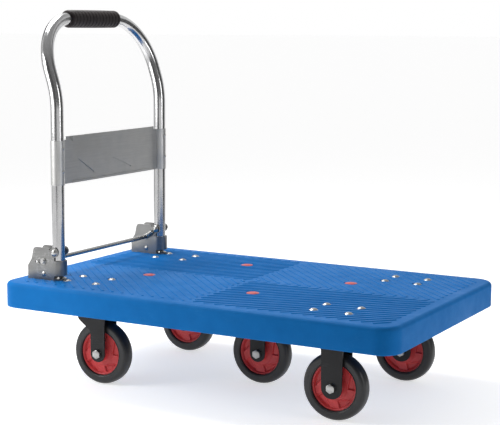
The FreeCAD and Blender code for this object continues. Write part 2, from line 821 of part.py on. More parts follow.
def make_handle_tube():
    """Bent steel tube, drilled for the pivot bolts and the panel's screws."""
    route, _ = handle_route()
    tube = swept(route, tube_radius).cut(swept(route, tube_radius - tube_wall))
    holes = []
    for y in SIDES.values():
        start = Vector(pivot_x, y - tube_radius - 1, pivot_z)
        end = Vector(pivot_x, y + tube_radius + 1, pivot_z)
        holes.append(rod_between(pivot_bolt_radius + running_clearance, start, end))
        for z in panel_screw_heights:
            holes.append(rod_between(panel_screw_shank, Vector(pivot_x, y, z), Vector(pivot_x + tube_radius + 1, y, z)))
    return tube.cut(holes)


def make_grip():
    """Soft grip sleeve round the tube's top, with rings along it."""
    route, centre = handle_route()
    half = grip_length / 2
    sleeve = turned([(tube_radius, -half, 0), (grip_radius, -half, grip_end_rounding),
                     (grip_radius, half, grip_end_rounding), (tube_radius, half, 0)], centre, LEFT)
    pitch = (grip_length - 4 * grip_end_rounding) / grip_rings
    grooves = []
    for i in range(grip_rings + 1):
        place = centre + LEFT * (-half + 2 * grip_end_rounding + i * pitch)
        grooves.append(Part.makeTorus(grip_radius + grip_groove / 4, grip_groove, place, LEFT))
    return sleeve.cut(grooves).cut(swept(route, tube_radius + grip_fit_clearance))


def make_foot_plugs():
    """Plastic plugs in the tube's open feet."""
    plugs = []
    for y in SIDES.values():
        foot = Vector(pivot_x, y, tube_foot_z)
        plugs.append(ring(tube_radius - tube_wall, tube_radius - tube_wall - foot_plug_wall,
                          foot, foot + UP * foot_plug_depth))
        plugs[-1] = plugs[-1].fuse(rod_between(tube_radius - tube_wall, foot, foot + UP * foot_plug_wall))
    return group(plugs)


def make_panel():
    """Pressed sheet between the uprights, its ends rolled round them as sleeves."""
    reach = handle_half_width - tube_radius
    half = panel_sheet / 2
    low, high, sleeve = panel_bottom, panel_top, panel_sleeve_top
    tall = reach - panel_end_gap
    sheet = [box((pivot_x - half, -reach, low), (pivot_x + half, reach, sleeve)),
             box((pivot_x - half, -tall, low), (pivot_x + half, tall, high))]
    field = handle_half_width - panel_field_margin
    for start, end in ((low, low + panel_bottom_hem), (high - panel_top_hem, high)):
        sheet.append(box((pivot_x, -field, start), (pivot_x + half + panel_hem_rise, field, end)))
    for y in SIDES.values():
        start, end = Vector(pivot_x, y, low), Vector(pivot_x, y, sleeve)
        sheet.append(rod_between(tube_radius + sleeve_sheet, start, end))
    panel = sheet[0].fuse(sheet[1:])
    cuts = panel_grooves()
    for y in SIDES.values():
        cuts.append(rod_between(tube_radius, Vector(pivot_x, y, low - 1), Vector(pivot_x, y, high + 1)))
        for z in panel_screw_heights:
            end = Vector(pivot_x + tube_radius + sleeve_sheet + 1, y, z)
            cuts.append(rod_between(panel_screw_shank, Vector(pivot_x, y, z), end))
    return panel.cut(cuts)


def panel_grooves():
    """Two slanting grooves pressed into the panel's front."""
    front = pivot_x + panel_sheet / 2 - panel_groove_depth
    grooves = []
    for y, rise, length, slant in panel_grooves_at:
        bar = box((front, -length / 2, -panel_groove_width / 2),
                  (front + panel_sheet + panel_hem_rise, length / 2, panel_groove_width / 2))
        bar.rotate(Vector(0, 0, 0), ALONG, slant)
        bar.translate(Vector(0, y, panel_bottom + rise))
        grooves.append(bar)
    return grooves


def make_panel_screws():
    """Pan-head screws that hold the panel's sleeves to the uprights."""
    screws = []
    face = pivot_x + tube_radius + sleeve_sheet
    for y in SIDES.values():
        for z in panel_screw_heights:
            seat = Vector(face, y, z)
            shank = rod_between(panel_screw_shank, Vector(pivot_x + tube_radius - tube_wall - panel_screw_run, y, z), seat)
            head = dome_head(panel_screw_radius, panel_screw_head, seat, ALONG)
            screws.append(shank.fuse(head))
    return group(screws)


# ---- handle brackets ----
def slot_through(y, half_span):
    """Straight slot for the foot rod, through both cheeks of a bracket."""
    slope = math.radians(rod_slope)
    way = Vector(-math.cos(slope), 0, -math.sin(slope))
    radius = rod_radius + rod_slot_clearance
    start = Vector(rod_x, y - half_span, rod_z)
    end = start + way * rod_travel
    side = way.cross(LEFT) * radius
    hull = Part.Face(Part.makePolygon([start + side, end + side, end - side, start - side, start + side]))
    span = LEFT * (2 * half_span)
    return [hull.extrude(span), Part.makeCylinder(radius, 2 * half_span, start, LEFT),
            Part.makeCylinder(radius, 2 * half_span, end, LEFT)]


def make_bracket(y):
    """Pressed bracket: two cheeks joined by a round nose in front of the tube, on a base plate."""
    floor = deck_top_z
    back, height = pivot_x - bracket_back, deck_top_z + bracket_height
    step_z, neck_z = floor + bracket_step_height, floor + bracket_neck_height
    shoulder_x, shoulder_z = pivot_x - ear_radius - bracket_ear_step, pivot_z + bracket_shoulder_rise
    corners = [(back, floor, bracket_foot_round), (back, step_z, bracket_side_round),
               (back + bracket_neck_inset, neck_z, bracket_side_round),
               (back + bracket_top_inset, height, bracket_side_round),
               (shoulder_x, height, 1), (shoulder_x, shoulder_z, 0), (pivot_x, shoulder_z, 0), (pivot_x, floor, 0)]
    cheeks = []
    for start in (y - cheek_outside, y + cheek_inside):
        sheet = plate(corners, in_side_view, Vector(0, start, 0), LEFT * bracket_sheet)
        hub = Vector(pivot_x, start, pivot_z)
        ear = rod_between(ear_radius, hub, hub + LEFT * bracket_sheet)
        cheeks.append(sheet.fuse(ear))
    low, high = floor + nose_bottom, floor + nose_top
    nose = ring(cheek_outside, cheek_inside, Vector(pivot_x, y, low), Vector(pivot_x, y, high))
    reach = cheek_outside + 1
    nose = nose.common(box((pivot_x, y - reach, low), (pivot_x + reach, y + reach, high)))
    front = pivot_x + base_nose_reach
    right, left = y - cheek_outside, y + cheek_outside
    base = plate([(back, right, bracket_foot_round), (front, right, base_nose_round), (front, left, base_nose_round),
                  (back, left, bracket_foot_round)], in_plan, Vector(0, 0, floor), UP * bracket_sheet)
    body = base.fuse(cheeks + [nose])
    cuts = slot_through(y, cheek_outside + 1)
    span = LEFT * (cheek_outside + 1)
    centre = Vector(pivot_x, y, pivot_z)
    cuts.append(rod_between(pivot_bolt_radius, centre - span, centre + span))
    brace = Vector(pivot_x - brace_pin_back, y, deck_top_z + brace_pin_height)
    cuts.append(rod_between(brace_pin_radius, brace - span, brace + span))
    spare = Vector(pivot_x - bracket_hole_back, y, floor + bracket_hole_height)
    cuts.append(rod_between(bracket_hole_radius, spare - span, spare + span))
    for x, bolt_y in bracket_bolt_places():
        if abs(bolt_y - y) < 1:
            cuts.append(rod_between(bolt_hole_radius, Vector(x, y, floor - 1), Vector(x, y, floor + bracket_sheet + 1)))
    return body.cut(cuts).removeSplitter()


def make_brace_pins():
    """Riveted pins that hold each bracket's cheeks apart."""
    pins = []
    for y in SIDES.values():
        centre = Vector(pivot_x - brace_pin_back, y, deck_top_z + brace_pin_height)
        reach = LEFT * cheek_outside
        pin = rod_between(brace_pin_radius, centre - reach, centre + reach)
        for way in (-1, 1):
            pin = pin.fuse(dome_head(brace_pin_head, brace_pin_head_height, centre + reach * way, LEFT * way))
        pins.append(pin)
    return group(pins)


def pivot_bolt_ends(y):
    """Where a pivot bolt's head and nut seat. The spring's eye has room on the inner side."""
    inner_room = spring_stand_off
    head = y - cheek_outside - (inner_room if y > 0 else 0)
    seat = y + cheek_outside + (inner_room if y < 0 else 0)
    return head, seat


def make_pivot_bolts():
    """Bolts that the handle's feet turn on."""
    bolts = []
    for y in SIDES.values():
        head, seat = pivot_bolt_ends(y)
        start = Vector(pivot_x, head, pivot_z)
        shank = rod_between(pivot_bolt_radius, start, Vector(pivot_x, seat + pivot_nut_height, pivot_z))
        bolts.append(shank.fuse(dome_head(pivot_head_radius, pivot_head_height, start, LEFT * -1)))
    return group(bolts)


def make_pivot_nuts():
    return group([nut(pivot_nut_flats, pivot_bolt_radius, Vector(pivot_x, pivot_bolt_ends(y)[1], pivot_z),
                      LEFT * pivot_nut_height) for y in SIDES.values()])


def make_pivot_caps():
    """Black caps pressed over the pivot nuts."""
    caps = []
    for y in SIDES.values():
        seat = Vector(pivot_x, pivot_bolt_ends(y)[1], pivot_z)
        depth = pivot_nut_height + pivot_cap_wall
        cap = turned([(0, 0, 0), (pivot_cap_radius, 0, 0), (pivot_cap_radius, depth, pivot_cap_round),
                      (0, depth, 0)], seat, LEFT)
        socket = rod_between(pivot_nut_flats / math.sqrt(3), seat - LEFT, seat + LEFT * pivot_nut_height)
        caps.append(cap.cut(socket))
    return group(caps)


# ---- foot rod ----
def rod_half_length():
    return handle_half_width + cheek_outside + rod_overhang


def make_foot_rod():
    """Round rod that passes through both brackets, with a clip groove near each end."""
    half = rod_half_length()
    rod = rod_between(rod_radius, Vector(rod_x, -half, rod_z), Vector(rod_x, half, rod_z))
    rod = rod.makeChamfer(rod_end_chamfer, [e for e in rod.Edges if abs(abs(e.CenterOfMass.y) - half) < 0.1 and e.Closed])
    return rod.cut([clip_ring(side, rod_radius + 1, rod_radius - rod_groove_depth) for side in (-1, 1)])


def clip_ring(side, outer, inner):
    """Ring in the place of the clip at one end of the rod."""
    start = side * (handle_half_width + cheek_outside + face_clearance)
    end = start + side * rod_clip_thickness
    return ring(outer, inner, Vector(rod_x, start, rod_z), Vector(rod_x, end, rod_z))


def make_rod_clips():
    """Clips that keep the foot rod in place."""
    clips = []
    for side in (-1, 1):
        clip = clip_ring(side, rod_clip_radius, rod_radius - rod_groove_depth)
        reach = rod_half_length() + 1
        gap = box((rod_x - rod_clip_radius - 1, -reach, rod_z - rod_clip_gap / 2),
                  (rod_x, reach, rod_z + rod_clip_gap / 2))
        clips.append(clip.cut(gap))
    return group(clips)


def make_springs():
    """Return springs between the pivot bolts and the foot rod: an eye at each end and a close coil."""
    springs = []
    wire = spring_wire / 2
    for y in SIDES.values():
        side = 1 if y < 0 else -1
        cheek = y + side * cheek_outside
        eye_y = cheek + side * (spring_side_clearance + spring_neck_inset + wire)
        coil_shift = LEFT * side * (spring_coil_radius - wire - spring_neck_inset)
        upper, lower = Vector(pivot_x, eye_y, pivot_z), Vector(rod_x, eye_y, rod_z)
        way = (lower - upper).normalize()
        upper_eye = pivot_bolt_radius + spring_eye_clearance + wire
        lower_eye = rod_radius + spring_eye_clearance + wire
        neck_start, neck_end = upper + way * upper_eye, lower - way * lower_eye
        coil_start, coil_end = upper + way * spring_coil_start, lower - way * (lower_eye + spring_wire)
        coil = ring(spring_coil_radius, spring_coil_radius - spring_wire,
                    coil_start + coil_shift, coil_end + coil_shift)
        solids = [Part.makeTorus(upper_eye, wire, upper, LEFT), Part.makeTorus(lower_eye, wire, lower, LEFT)]
        solids += [rod_between(wire, neck_start, coil_start + way * wire),
                   rod_between(wire, coil_end - way * wire, neck_end)]
        for end, inward in ((coil_start, 1), (coil_end, -1)):
            disc = end + coil_shift
            solids.append(rod_between(spring_coil_radius, disc, disc + way * (inward * spring_wire)))
        springs.append(coil.fuse(solids))
    return group(springs)


# ---- build every sub-part ----
def main():
    os.makedirs("parts", exist_ok=True)
    save("deck", make_deck())
    save("deck_plugs", make_plugs())
    save("caster_bolts", make_deck_bolts())
    save("caster_nuts", make_deck_nuts())
    save("middle_caster_screws", make_middle_screws())
    save("bracket_bolts", make_bracket_bolts())
    save("bracket_washers", make_bracket_washers())
    save("bracket_nuts", make_bracket_nuts())
    save("swivel_balls", make_balls())
    save("kingpins", group([make_kingpin(x, y) for x, y in SWIVELS.values()]))
    save("kingpin_nuts", group([make_kingpin_nut(x, y) for x, y in SWIVELS.values()]))
    for name, (x, y) in SWIVELS.items():
        axle_x = x + trail
        save("swivel_plate_" + name, make_swivel_plate(x, y))
        save("swivel_fork_" + name, make_swivel_fork(x, y))
        save("axle_bolt_" + name, make_axle(axle_x, y))
        save("axle_nut_" + name, make_axle_nut(axle_x, y))
        save("axle_sleeve_" + name, make_sleeve(axle_x, y))
    for name, (x, y) in FIXED.items():
        save("fixed_fork_" + name, make_fixed_fork(x, y))
    save("fixed_axle_bolts", group([make_axle(x, y) for x, y in FIXED.values()]))
    save("fixed_axle_nuts", group([make_axle_nut(x, y) for x, y in FIXED.values()]))
    save("fixed_axle_sleeves", group([make_sleeve(x, y) for x, y in FIXED.values()]))
    wheels = {name: (x + trail, y) for name, (x, y) in SWIVELS.items()}
    wheels.update(FIXED)
    for name, (x, y) in wheels.items():
        save("tyre_" + name, make_tyre(x, y))
        save("hub_" + name, make_hub(x, y))
        save("wheel_bearing_" + name, make_bearing(x, y))
    save("handle_tube", make_handle_tube())
    save("handle_grip", make_grip())
    save("handle_foot_plugs", make_foot_plugs())
    save("handle_panel", make_panel())
    save("panel_screws", make_panel_screws())
    for side, y in SIDES.items():
        save("handle_bracket_" + side, make_bracket(y))
    save("bracket_brace_pins", make_brace_pins())
    save("pivot_bolts", make_pivot_bolts())
    save("pivot_nuts", make_pivot_nuts())
    save("pivot_caps", make_pivot_caps())
    save("foot_rod", make_foot_rod())
    save("foot_rod_clips", make_rod_clips())
    save("foot_rod_springs", make_springs())


main()
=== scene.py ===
"""Looks of the folding platform cart. Metres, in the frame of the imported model."""
import json
import math

import bmesh
import bpy
import numpy as np
from mathutils import Matrix, Vector


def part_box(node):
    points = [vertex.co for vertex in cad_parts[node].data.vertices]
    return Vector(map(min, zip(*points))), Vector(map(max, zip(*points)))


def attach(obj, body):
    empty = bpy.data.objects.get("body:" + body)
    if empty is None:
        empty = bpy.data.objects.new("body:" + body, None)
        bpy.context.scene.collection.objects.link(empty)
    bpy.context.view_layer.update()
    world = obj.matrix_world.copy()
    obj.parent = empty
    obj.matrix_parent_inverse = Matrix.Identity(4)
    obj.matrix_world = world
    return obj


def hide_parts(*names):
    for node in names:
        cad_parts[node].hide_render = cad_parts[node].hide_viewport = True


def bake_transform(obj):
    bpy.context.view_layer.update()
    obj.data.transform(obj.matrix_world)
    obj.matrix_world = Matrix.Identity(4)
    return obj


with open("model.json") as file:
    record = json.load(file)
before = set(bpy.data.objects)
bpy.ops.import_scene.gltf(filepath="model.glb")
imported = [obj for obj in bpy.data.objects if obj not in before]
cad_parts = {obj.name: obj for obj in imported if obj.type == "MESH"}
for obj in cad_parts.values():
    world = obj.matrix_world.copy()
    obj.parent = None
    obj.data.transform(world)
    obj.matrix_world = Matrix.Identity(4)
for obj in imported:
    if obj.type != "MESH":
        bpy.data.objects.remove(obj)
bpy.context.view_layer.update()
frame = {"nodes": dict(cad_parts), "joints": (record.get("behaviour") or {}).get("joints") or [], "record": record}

MM = 0.001
NODES = frame["nodes"]
BODY_OF = {n: b for b, members in frame["record"]["behaviour"]["bodies"].items() for n in members}
SLOT_OF = {n: o.material_slots[0].material.name for n, o in NODES.items()}
WHEELS = ["rear_right", "rear_left", "middle", "front_right", "front_left"]


def spans(node):
    """Lowest corner, highest corner and middle of a CAD node, as arrays."""
    low, high = (np.array(corner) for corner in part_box(node))
    return low, high, (low + high) / 2


# ---------------------------------------------------------------- shapes

def ease(t):
    """Smooth step: 0 below 0, 1 above 1, and t * t * (3 - 2 t) between."""
    t = np.clip(t, 0.0, 1.0)
    return t * t * (3 - 2 * t)


def dip(x, middle, width):
    """A bell: e to the power of minus ((x - middle) / width) squared."""
    return np.exp(-((x - middle) / width) ** 2)


def piece(name, sheets, body, nodes, material, crease=38):
    """One closed mesh from sheets of points, each shaped (rows, columns, 3) and joined to itself both ways."""
    points, faces, start = [], [], 0
    for sheet in sheets:
        rows, columns = sheet.shape[:2]
        index = start + np.arange(rows * columns).reshape(rows, columns)
        right = np.roll(index, -1, axis=1)
        down, across = np.roll(index, -1, axis=0), np.roll(right, -1, axis=0)
        points.append(sheet.reshape(-1, 3))
        faces.append(np.stack([index, right, across, down], axis=2).reshape(-1, 4))
        start += rows * columns
    mesh = bpy.data.meshes.new(name)
    mesh.from_pydata(np.concatenate(points).tolist(), [], np.concatenate(faces).tolist())
    work = bmesh.new()
    work.from_mesh(mesh)
    bmesh.ops.remove_doubles(work, verts=work.verts, dist=1e-6)
    bmesh.ops.recalc_face_normals(work, faces=work.faces)
    work.to_mesh(mesh)
    work.free()
    return finish_piece(name, mesh, body, nodes, material, crease)


def finish_piece(name, mesh, body, nodes, material, crease):
    """Shade the mesh smooth up to the crease angle, hang it on its body, and hide the CAD nodes it takes the place
    of.
    """
    mesh.polygons.foreach_set("use_smooth", np.ones(len(mesh.polygons), bool))
    mesh.set_sharp_from_angle(angle=math.radians(crease))
    obj = bpy.data.objects.new(name, mesh)
    bpy.context.scene.collection.objects.link(obj)
    mesh.materials.append(material)
    if isinstance(body, str):
        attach(obj, body)
    else:
        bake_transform(obj)
    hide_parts(*nodes)
    return obj


def eased_copy(node, width, material, angle=28, crease=30, steps=2):
    """A merged copy of a CAD node, its flat faces joined up and its sharp edges rounded by width."""
    source = NODES[node].data
    points = np.empty(len(source.vertices) * 3)
    source.vertices.foreach_get("co", points)
    corners = np.empty(len(source.loops), int)
    source.loops.foreach_get("vertex_index", corners)
    mesh = bpy.data.meshes.new(node + "_eased")
    mesh.from_pydata(points.reshape(-1, 3).tolist(), [], corners.reshape(-1, 3).tolist())
    work = bmesh.new()
    work.from_mesh(mesh)
    bmesh.ops.remove_doubles(work, verts=work.verts, dist=2e-6)
    bmesh.ops.dissolve_limit(work, angle_limit=math.radians(0.3), verts=work.verts, edges=work.edges)
    work.to_mesh(mesh)
    work.free()
    obj = finish_piece(node + "_eased", mesh, BODY_OF[node], [node], material, crease)
    bevel = obj.modifiers.new("eased_edges", "BEVEL")
    bevel.width, bevel.segments, bevel.limit_method = width, steps, "ANGLE"
    bevel.angle_limit = math.radians(angle)
    bevel.harden_normals = True
    return obj


def lathe(profile, centre, turns=144, shift=None):
    """Turn a closed profile of (distance from the axis, place along Y) round an axis along Y through
    centre. shift(distance, angle, side) adds to each point's height above the middle plane."""
    angle = np.linspace(0, 2 * math.pi, turns, endpoint=False)[:, None]
    far, along = profile[:, 0][None, :], profile[:, 1][None, :]
    if shift is not None:
        along = along + np.sign(along) * shift(far, angle)
    else:
        along = along + 0 * angle
    return np.stack([centre[0] + far * np.cos(angle), centre[1] + along, centre[2] + far * np.sin(angle)],
                    axis=2)


def tyre_profile(inner, outer, half, rim_half):
    """Cross-section of a tyre. The crown is a superellipse of power 2.7 over each shoulder, and the
    sidewall is flat with one moulded groove and a rounded bead next to the rim."""
    sweep = np.linspace(-math.pi / 2, math.pi / 2, 61)
    shoulder = 10.5 * MM
    crown_y = half * np.sign(np.sin(sweep)) * np.abs(np.sin(sweep)) ** (2 / 2.7)
    crown_r = outer - shoulder + shoulder * np.abs(np.cos(sweep)) ** (2 / 2.7)
    wall_r = np.linspace(inner + 0.2 * MM, outer - shoulder, 22)[:-1]
    bead = 1.6 * MM * (1 - ease((wall_r - inner) / (1.5 * MM)))
    wall_y = half - bead - 0.9 * MM * dip(wall_r, inner + 2.6 * MM, 0.55 * MM)
    seat = np.array([[inner, -rim_half], [inner, rim_half]])
    low = np.stack([wall_r, -wall_y], axis=1)
    high = np.stack([wall_r[::-1], wall_y[::-1]], axis=1)
    crown = np.stack([crown_r, crown_y], axis=1)
    return np.concatenate([seat[:1], low, crown, high, seat[1:]])


def hub_profile(bore, boss, boss_half, web, rim_inner, rim_half, rim_outer):
    """Cross-section of a wheel centre: boss, a web that thins from web[0] to web[1] with a fillet at each
    end and a low ring-shaped swell half way out, and a rounded rim."""
    boss_r = np.linspace(bore, boss, 7)
    boss_y = boss_half - 0.9 * MM * ease((boss_r - boss + 1.2 * MM) / (1.2 * MM)) ** 2
    web_r = np.linspace(boss, rim_inner, 80)
    out = (web_r - boss) / (rim_inner - boss)
    web_y = web[0] + (web[1] - web[0]) * out + 0.5 * MM * dip(web_r, 28 * MM, 1.6 * MM)
    web_y += (boss_half - 0.9 * MM - web[0]) * (1 - ease((web_r - boss) / (3.6 * MM)))
    web_y += (rim_half - 0.7 * MM - web[1]) * ease((web_r - rim_inner + 1.6 * MM) / (1.6 * MM))
    rim_r = np.linspace(rim_inner, rim_outer, 9)[1:]
    rim_y = rim_half - 0.7 * MM * (1 - ease((rim_r - rim_inner) / (1.0 * MM)))
    far = np.concatenate([boss_r, web_r[1:], rim_r])
    high = np.concatenate([boss_y, web_y[1:], rim_y])
    side = np.stack([far, high], axis=1)
    return np.concatenate([side, side[::-1] * [1, -1]])


def hub_pockets(count, apex, depth, outer):
    """Height change of the hub's pockets. Each pocket is a triangle between a radial line, a line
    from the apex to the rim, and the rim. Its depth eases in with the distance inside them, and a low
    bead stands along its outline."""
    start, end = math.radians(-76), math.radians(-30)
    step = 2 * math.pi / count
    p = apex * np.array([math.cos(start), math.sin(start)])
    q = outer * np.array([math.cos(end), math.sin(end)])
    way = (q - p) / np.linalg.norm(q - p)

    def shift(far, angle):
        turn = np.mod(angle - start + 0.15, step) + start - 0.15
        x, z = far * np.cos(turn), far * np.sin(turn)
        from_spoke = far * np.sin(turn - start)
        from_line = (x - p[0]) * way[1] - (z - p[1]) * way[0]
        inside = np.minimum(np.minimum(from_spoke, from_line), outer - far)
        raised = 0.5 * MM * dip(inside, -1.0 * MM, 0.9 * MM) * (far > apex * 0.85) * (outer - far > 0)
        return raised - depth * ease(inside / (1.8 * MM))
    return shift


def carried(path, profile, sides=48, across=None):
    """Carry round sections along a path. A profile row is (index along the path, radius). The
    section at each row is the path's point plus radius times the circle of across and its normal."""
    index = np.clip(profile[:, 0], 0, len(path) - 1)
    whole = np.arange(len(path))
    points = np.stack([np.interp(index, whole, path[:, k]) for k in range(3)], axis=1)
    tangent = np.gradient(path, axis=0)
    tangent = np.stack([np.interp(index, whole, tangent[:, k]) for k in range(3)], axis=1)
    tangent /= np.linalg.norm(tangent, axis=1)[:, None]
    first = np.cross(tangent, across)
    first /= np.linalg.norm(first, axis=1)[:, None]
    second = np.cross(tangent, first)
    angle = np.linspace(0, 2 * math.pi, sides, endpoint=False)
    ring = first[:, None] * np.cos(angle)[None, :, None] + second[:, None] * np.sin(angle)[None, :, None]
    return points[:, None] + profile[:, 1][:, None, None] * ring


# ---------------------------------------------------------------- node groups

def socketed(name, inputs, outputs):
    """An empty shader node group with named inputs (name, kind, value) and outputs (name, kind)."""
    tree = bpy.data.node_groups.new(name, "ShaderNodeTree")
    for label, kind, value in inputs:
        socket = tree.interface.new_socket(label, in_out="INPUT", socket_type="NodeSocket" + kind)
        socket.default_value = value
    for label, kind in outputs:
        tree.interface.new_socket(label, in_out="OUTPUT", socket_type="NodeSocket" + kind)
    return tree, tree.nodes.new("NodeGroupInput"), tree.nodes.new("NodeGroupOutput")


def add(tree, kind, links=None, **settings):
    """A node with its settings. links maps an input's name or number to a socket or a plain value."""
    node = tree.nodes.new("ShaderNode" + kind)
    for key, value in settings.items():
        setattr(node, key, value)
    for key, value in (links or {}).items():
        if isinstance(value, bpy.types.NodeSocket):
            tree.links.new(value, node.inputs[key])
        else:
            node.inputs[key].default_value = value
    return node


def sums(tree, operation, *values, clamp=False):
    """A Math node."""
    return add(tree, "Math", dict(enumerate(values)), operation=operation, use_clamp=clamp).outputs[0]


def blend_colour(tree, mask, a, b, kind="MIX"):
    """Colour a where mask is 0 and b where it is 1."""
    node = add(tree, "Mix", data_type="RGBA", blend_type=kind)
    for key, value in ((0, mask), (6, a), (7, b)):
        if isinstance(value, bpy.types.NodeSocket):
            tree.links.new(value, node.inputs[key])
        else:
            node.inputs[key].default_value = value
    return node.outputs[2]


def stretch(tree, value, low, high, to_low=0.0, to_high=1.0):
    """Map low..high to to_low..to_high, held at both ends."""
    links = {"Value": value, "From Min": low, "From Max": high, "To Min": to_low, "To Max": to_high}
    return add(tree, "MapRange", links, clamp=True).outputs[0]


def grain_group():
    """Moulded or cast grain: fine cells over a soft unevenness. Height is for bump, Tint varies 0 to 1."""
    tree, given, out = socketed("cast_grain",
                                [("Cells per metre", "Float", 900.0), ("Unevenness", "Float", 0.4)],
                                [("Height", "Float"), ("Tint", "Float")])
    place = add(tree, "TexCoord").outputs["Object"]
    fine = add(tree, "TexNoise",
               {"Vector": place, "Scale": given.outputs[0], "Detail": 3.0, "Roughness": 0.6})
    cells = add(tree, "TexVoronoi", {"Vector": place, "Scale": given.outputs[0]})
    soft = add(tree, "TexNoise", {"Vector": place, "Scale": 38.0, "Detail": 2.0})
    broad = add(tree, "TexNoise", {"Vector": place, "Scale": 5.0, "Detail": 4.0, "Roughness": 0.55})
    grain = sums(tree, "ADD", sums(tree, "MULTIPLY", fine.outputs[0], 0.6),
                 sums(tree, "MULTIPLY", cells.outputs["Distance"], 0.4))
    height = sums(tree, "ADD", grain, sums(tree, "MULTIPLY", soft.outputs[0], given.outputs[1]))
    tint = sums(tree, "ADD", sums(tree, "MULTIPLY", broad.outputs[0], 0.6),
                sums(tree, "MULTIPLY", soft.outputs[0], 0.4))
    tree.links.new(height, out.inputs[0])
    tree.links.new(stretch(tree, tint, 0.32, 0.68), out.inputs[1])
    return tree


def scratch_group():
    """Fine scratches in two directions and broad scuffs: thin bright lines where a stretched noise crosses
    its middle value, kept only in patches."""
    tree, given, out = socketed("scratches", [("Amount", "Float", 0.5), ("Size", "Float", 1.0)],
                                [("Mask", "Float"), ("Height", "Float")])
    place = add(tree, "TexCoord").outputs["Object"]
    lines = []
    for spin, squeeze in ((0.5, (260, 9, 60)), (-0.9, (12, 210, 60)), (0.1, (60, 14, 240))):
        at = add(tree, "Mapping", {"Vector": place, "Rotation": (0.2, 0.1, spin), "Scale": squeeze})
        sized = add(tree, "VectorMath", {0: at.outputs[0], "Scale": given.outputs[1]}, operation="SCALE")
        noise = add(tree, "TexNoise", {"Vector": sized.outputs[0], "Scale": 1.0, "Detail": 2.0})
        off = sums(tree, "ABSOLUTE", sums(tree, "SUBTRACT", noise.outputs[0], 0.5))
        lines.append(stretch(tree, off, 0.0, 0.012, 1.0, 0.0))
    patch = add(tree, "TexNoise", {"Vector": place, "Scale": 17.0, "Detail": 3.0})
    kept = stretch(tree, patch.outputs[0], 0.47, 0.66)
    any_line = sums(tree, "MAXIMUM", sums(tree, "MAXIMUM", lines[0], lines[1]), lines[2])
    mask = sums(tree, "MULTIPLY", sums(tree, "MULTIPLY", any_line, kept), given.outputs[0], clamp=True)
    tree.links.new(mask, out.inputs[0])
    tree.links.new(sums(tree, "MULTIPLY", mask, -1.0), out.inputs[1])
    return tree


def edge_group():
    """Rubbed edges and settled dust. Edge is 1 less the cosine between the rounded and the true normal,
    broken by noise. Dust lies where the normal points up, in soft patches."""
    tree, given, out = socketed("edges_and_dust", [("Edge radius", "Float", 0.001), ("Edge", "Float", 0.6),
                                                   ("Dust", "Float", 0.3)],
                                [("Edge mask", "Float"), ("Dust mask", "Float")])
    place = add(tree, "TexCoord").outputs["Object"]
    normal = add(tree, "NewGeometry").outputs["Normal"]
    rounded = add(tree, "Bevel", {"Radius": given.outputs[0]}, samples=4).outputs[0]
    cosine = add(tree, "VectorMath", {0: normal, 1: rounded}, operation="DOT_PRODUCT").outputs["Value"]
    bent = stretch(tree, sums(tree, "SUBTRACT", 1.0, cosine), 0.01, 0.16)
    chips = add(tree, "TexNoise",
                {"Vector": place, "Scale": 130.0, "Detail": 5.0, "Roughness": 0.7}).outputs[0]
    edge = sums(tree, "MULTIPLY", sums(tree, "MULTIPLY", bent, stretch(tree, chips, 0.42, 0.62)),
                given.outputs[1])
    up = add(tree, "SeparateXYZ", {0: normal}).outputs[2]
    film = add(tree, "TexNoise",
               {"Vector": place, "Scale": 11.0, "Detail": 6.0, "Roughness": 0.65}).outputs[0]
    lying = sums(tree, "MULTIPLY", stretch(tree, up, 0.1, 0.95), stretch(tree, film, 0.36, 0.7))
    tree.links.new(sums(tree, "MINIMUM", edge, 1.0), out.inputs[0])
    tree.links.new(sums(tree, "MULTIPLY", lying, given.outputs[2]), out.inputs[1])
    return tree


def brushed_group():
    """Drawn or brushed metal: noise stretched along one axis of the piece."""
    tree, given, out = socketed("drawn_metal", [("Squeeze", "Vector", (600.0, 600.0, 8.0))],
                                [("Height", "Float"), ("Tint", "Float")])
    place = add(tree, "TexCoord").outputs["Object"]
    at = add(tree, "VectorMath", {0: place, 1: given.outputs[0]}, operation="MULTIPLY")
    lines = add(tree, "TexNoise", {"Vector": at.outputs[0], "Scale": 1.0, "Detail": 4.0, "Roughness": 0.6})
    cloud = add(tree, "TexNoise", {"Vector": place, "Scale": 24.0, "Detail": 3.0})
    tree.links.new(lines.outputs[0], out.inputs[0])
    both = sums(tree, "ADD", sums(tree, "MULTIPLY", lines.outputs[0], 0.5),
                sums(tree, "MULTIPLY", cloud.outputs[0], 0.5))
    tree.links.new(stretch(tree, both, 0.35, 0.65), out.inputs[1])
    return tree


GRAIN, SCRATCHES, EDGES, BRUSHED = grain_group(), scratch_group(), edge_group(), brushed_group()


# ---------------------------------------------------------------- materials

def group_node(tree, group, **values):
    """One shader node group, placed in a material with its own values."""
    node = tree.nodes.new("ShaderNodeGroup")
    node.node_tree = group
    for label, value in values.items():
        node.inputs[label.replace("_", " ")].default_value = value
    return node


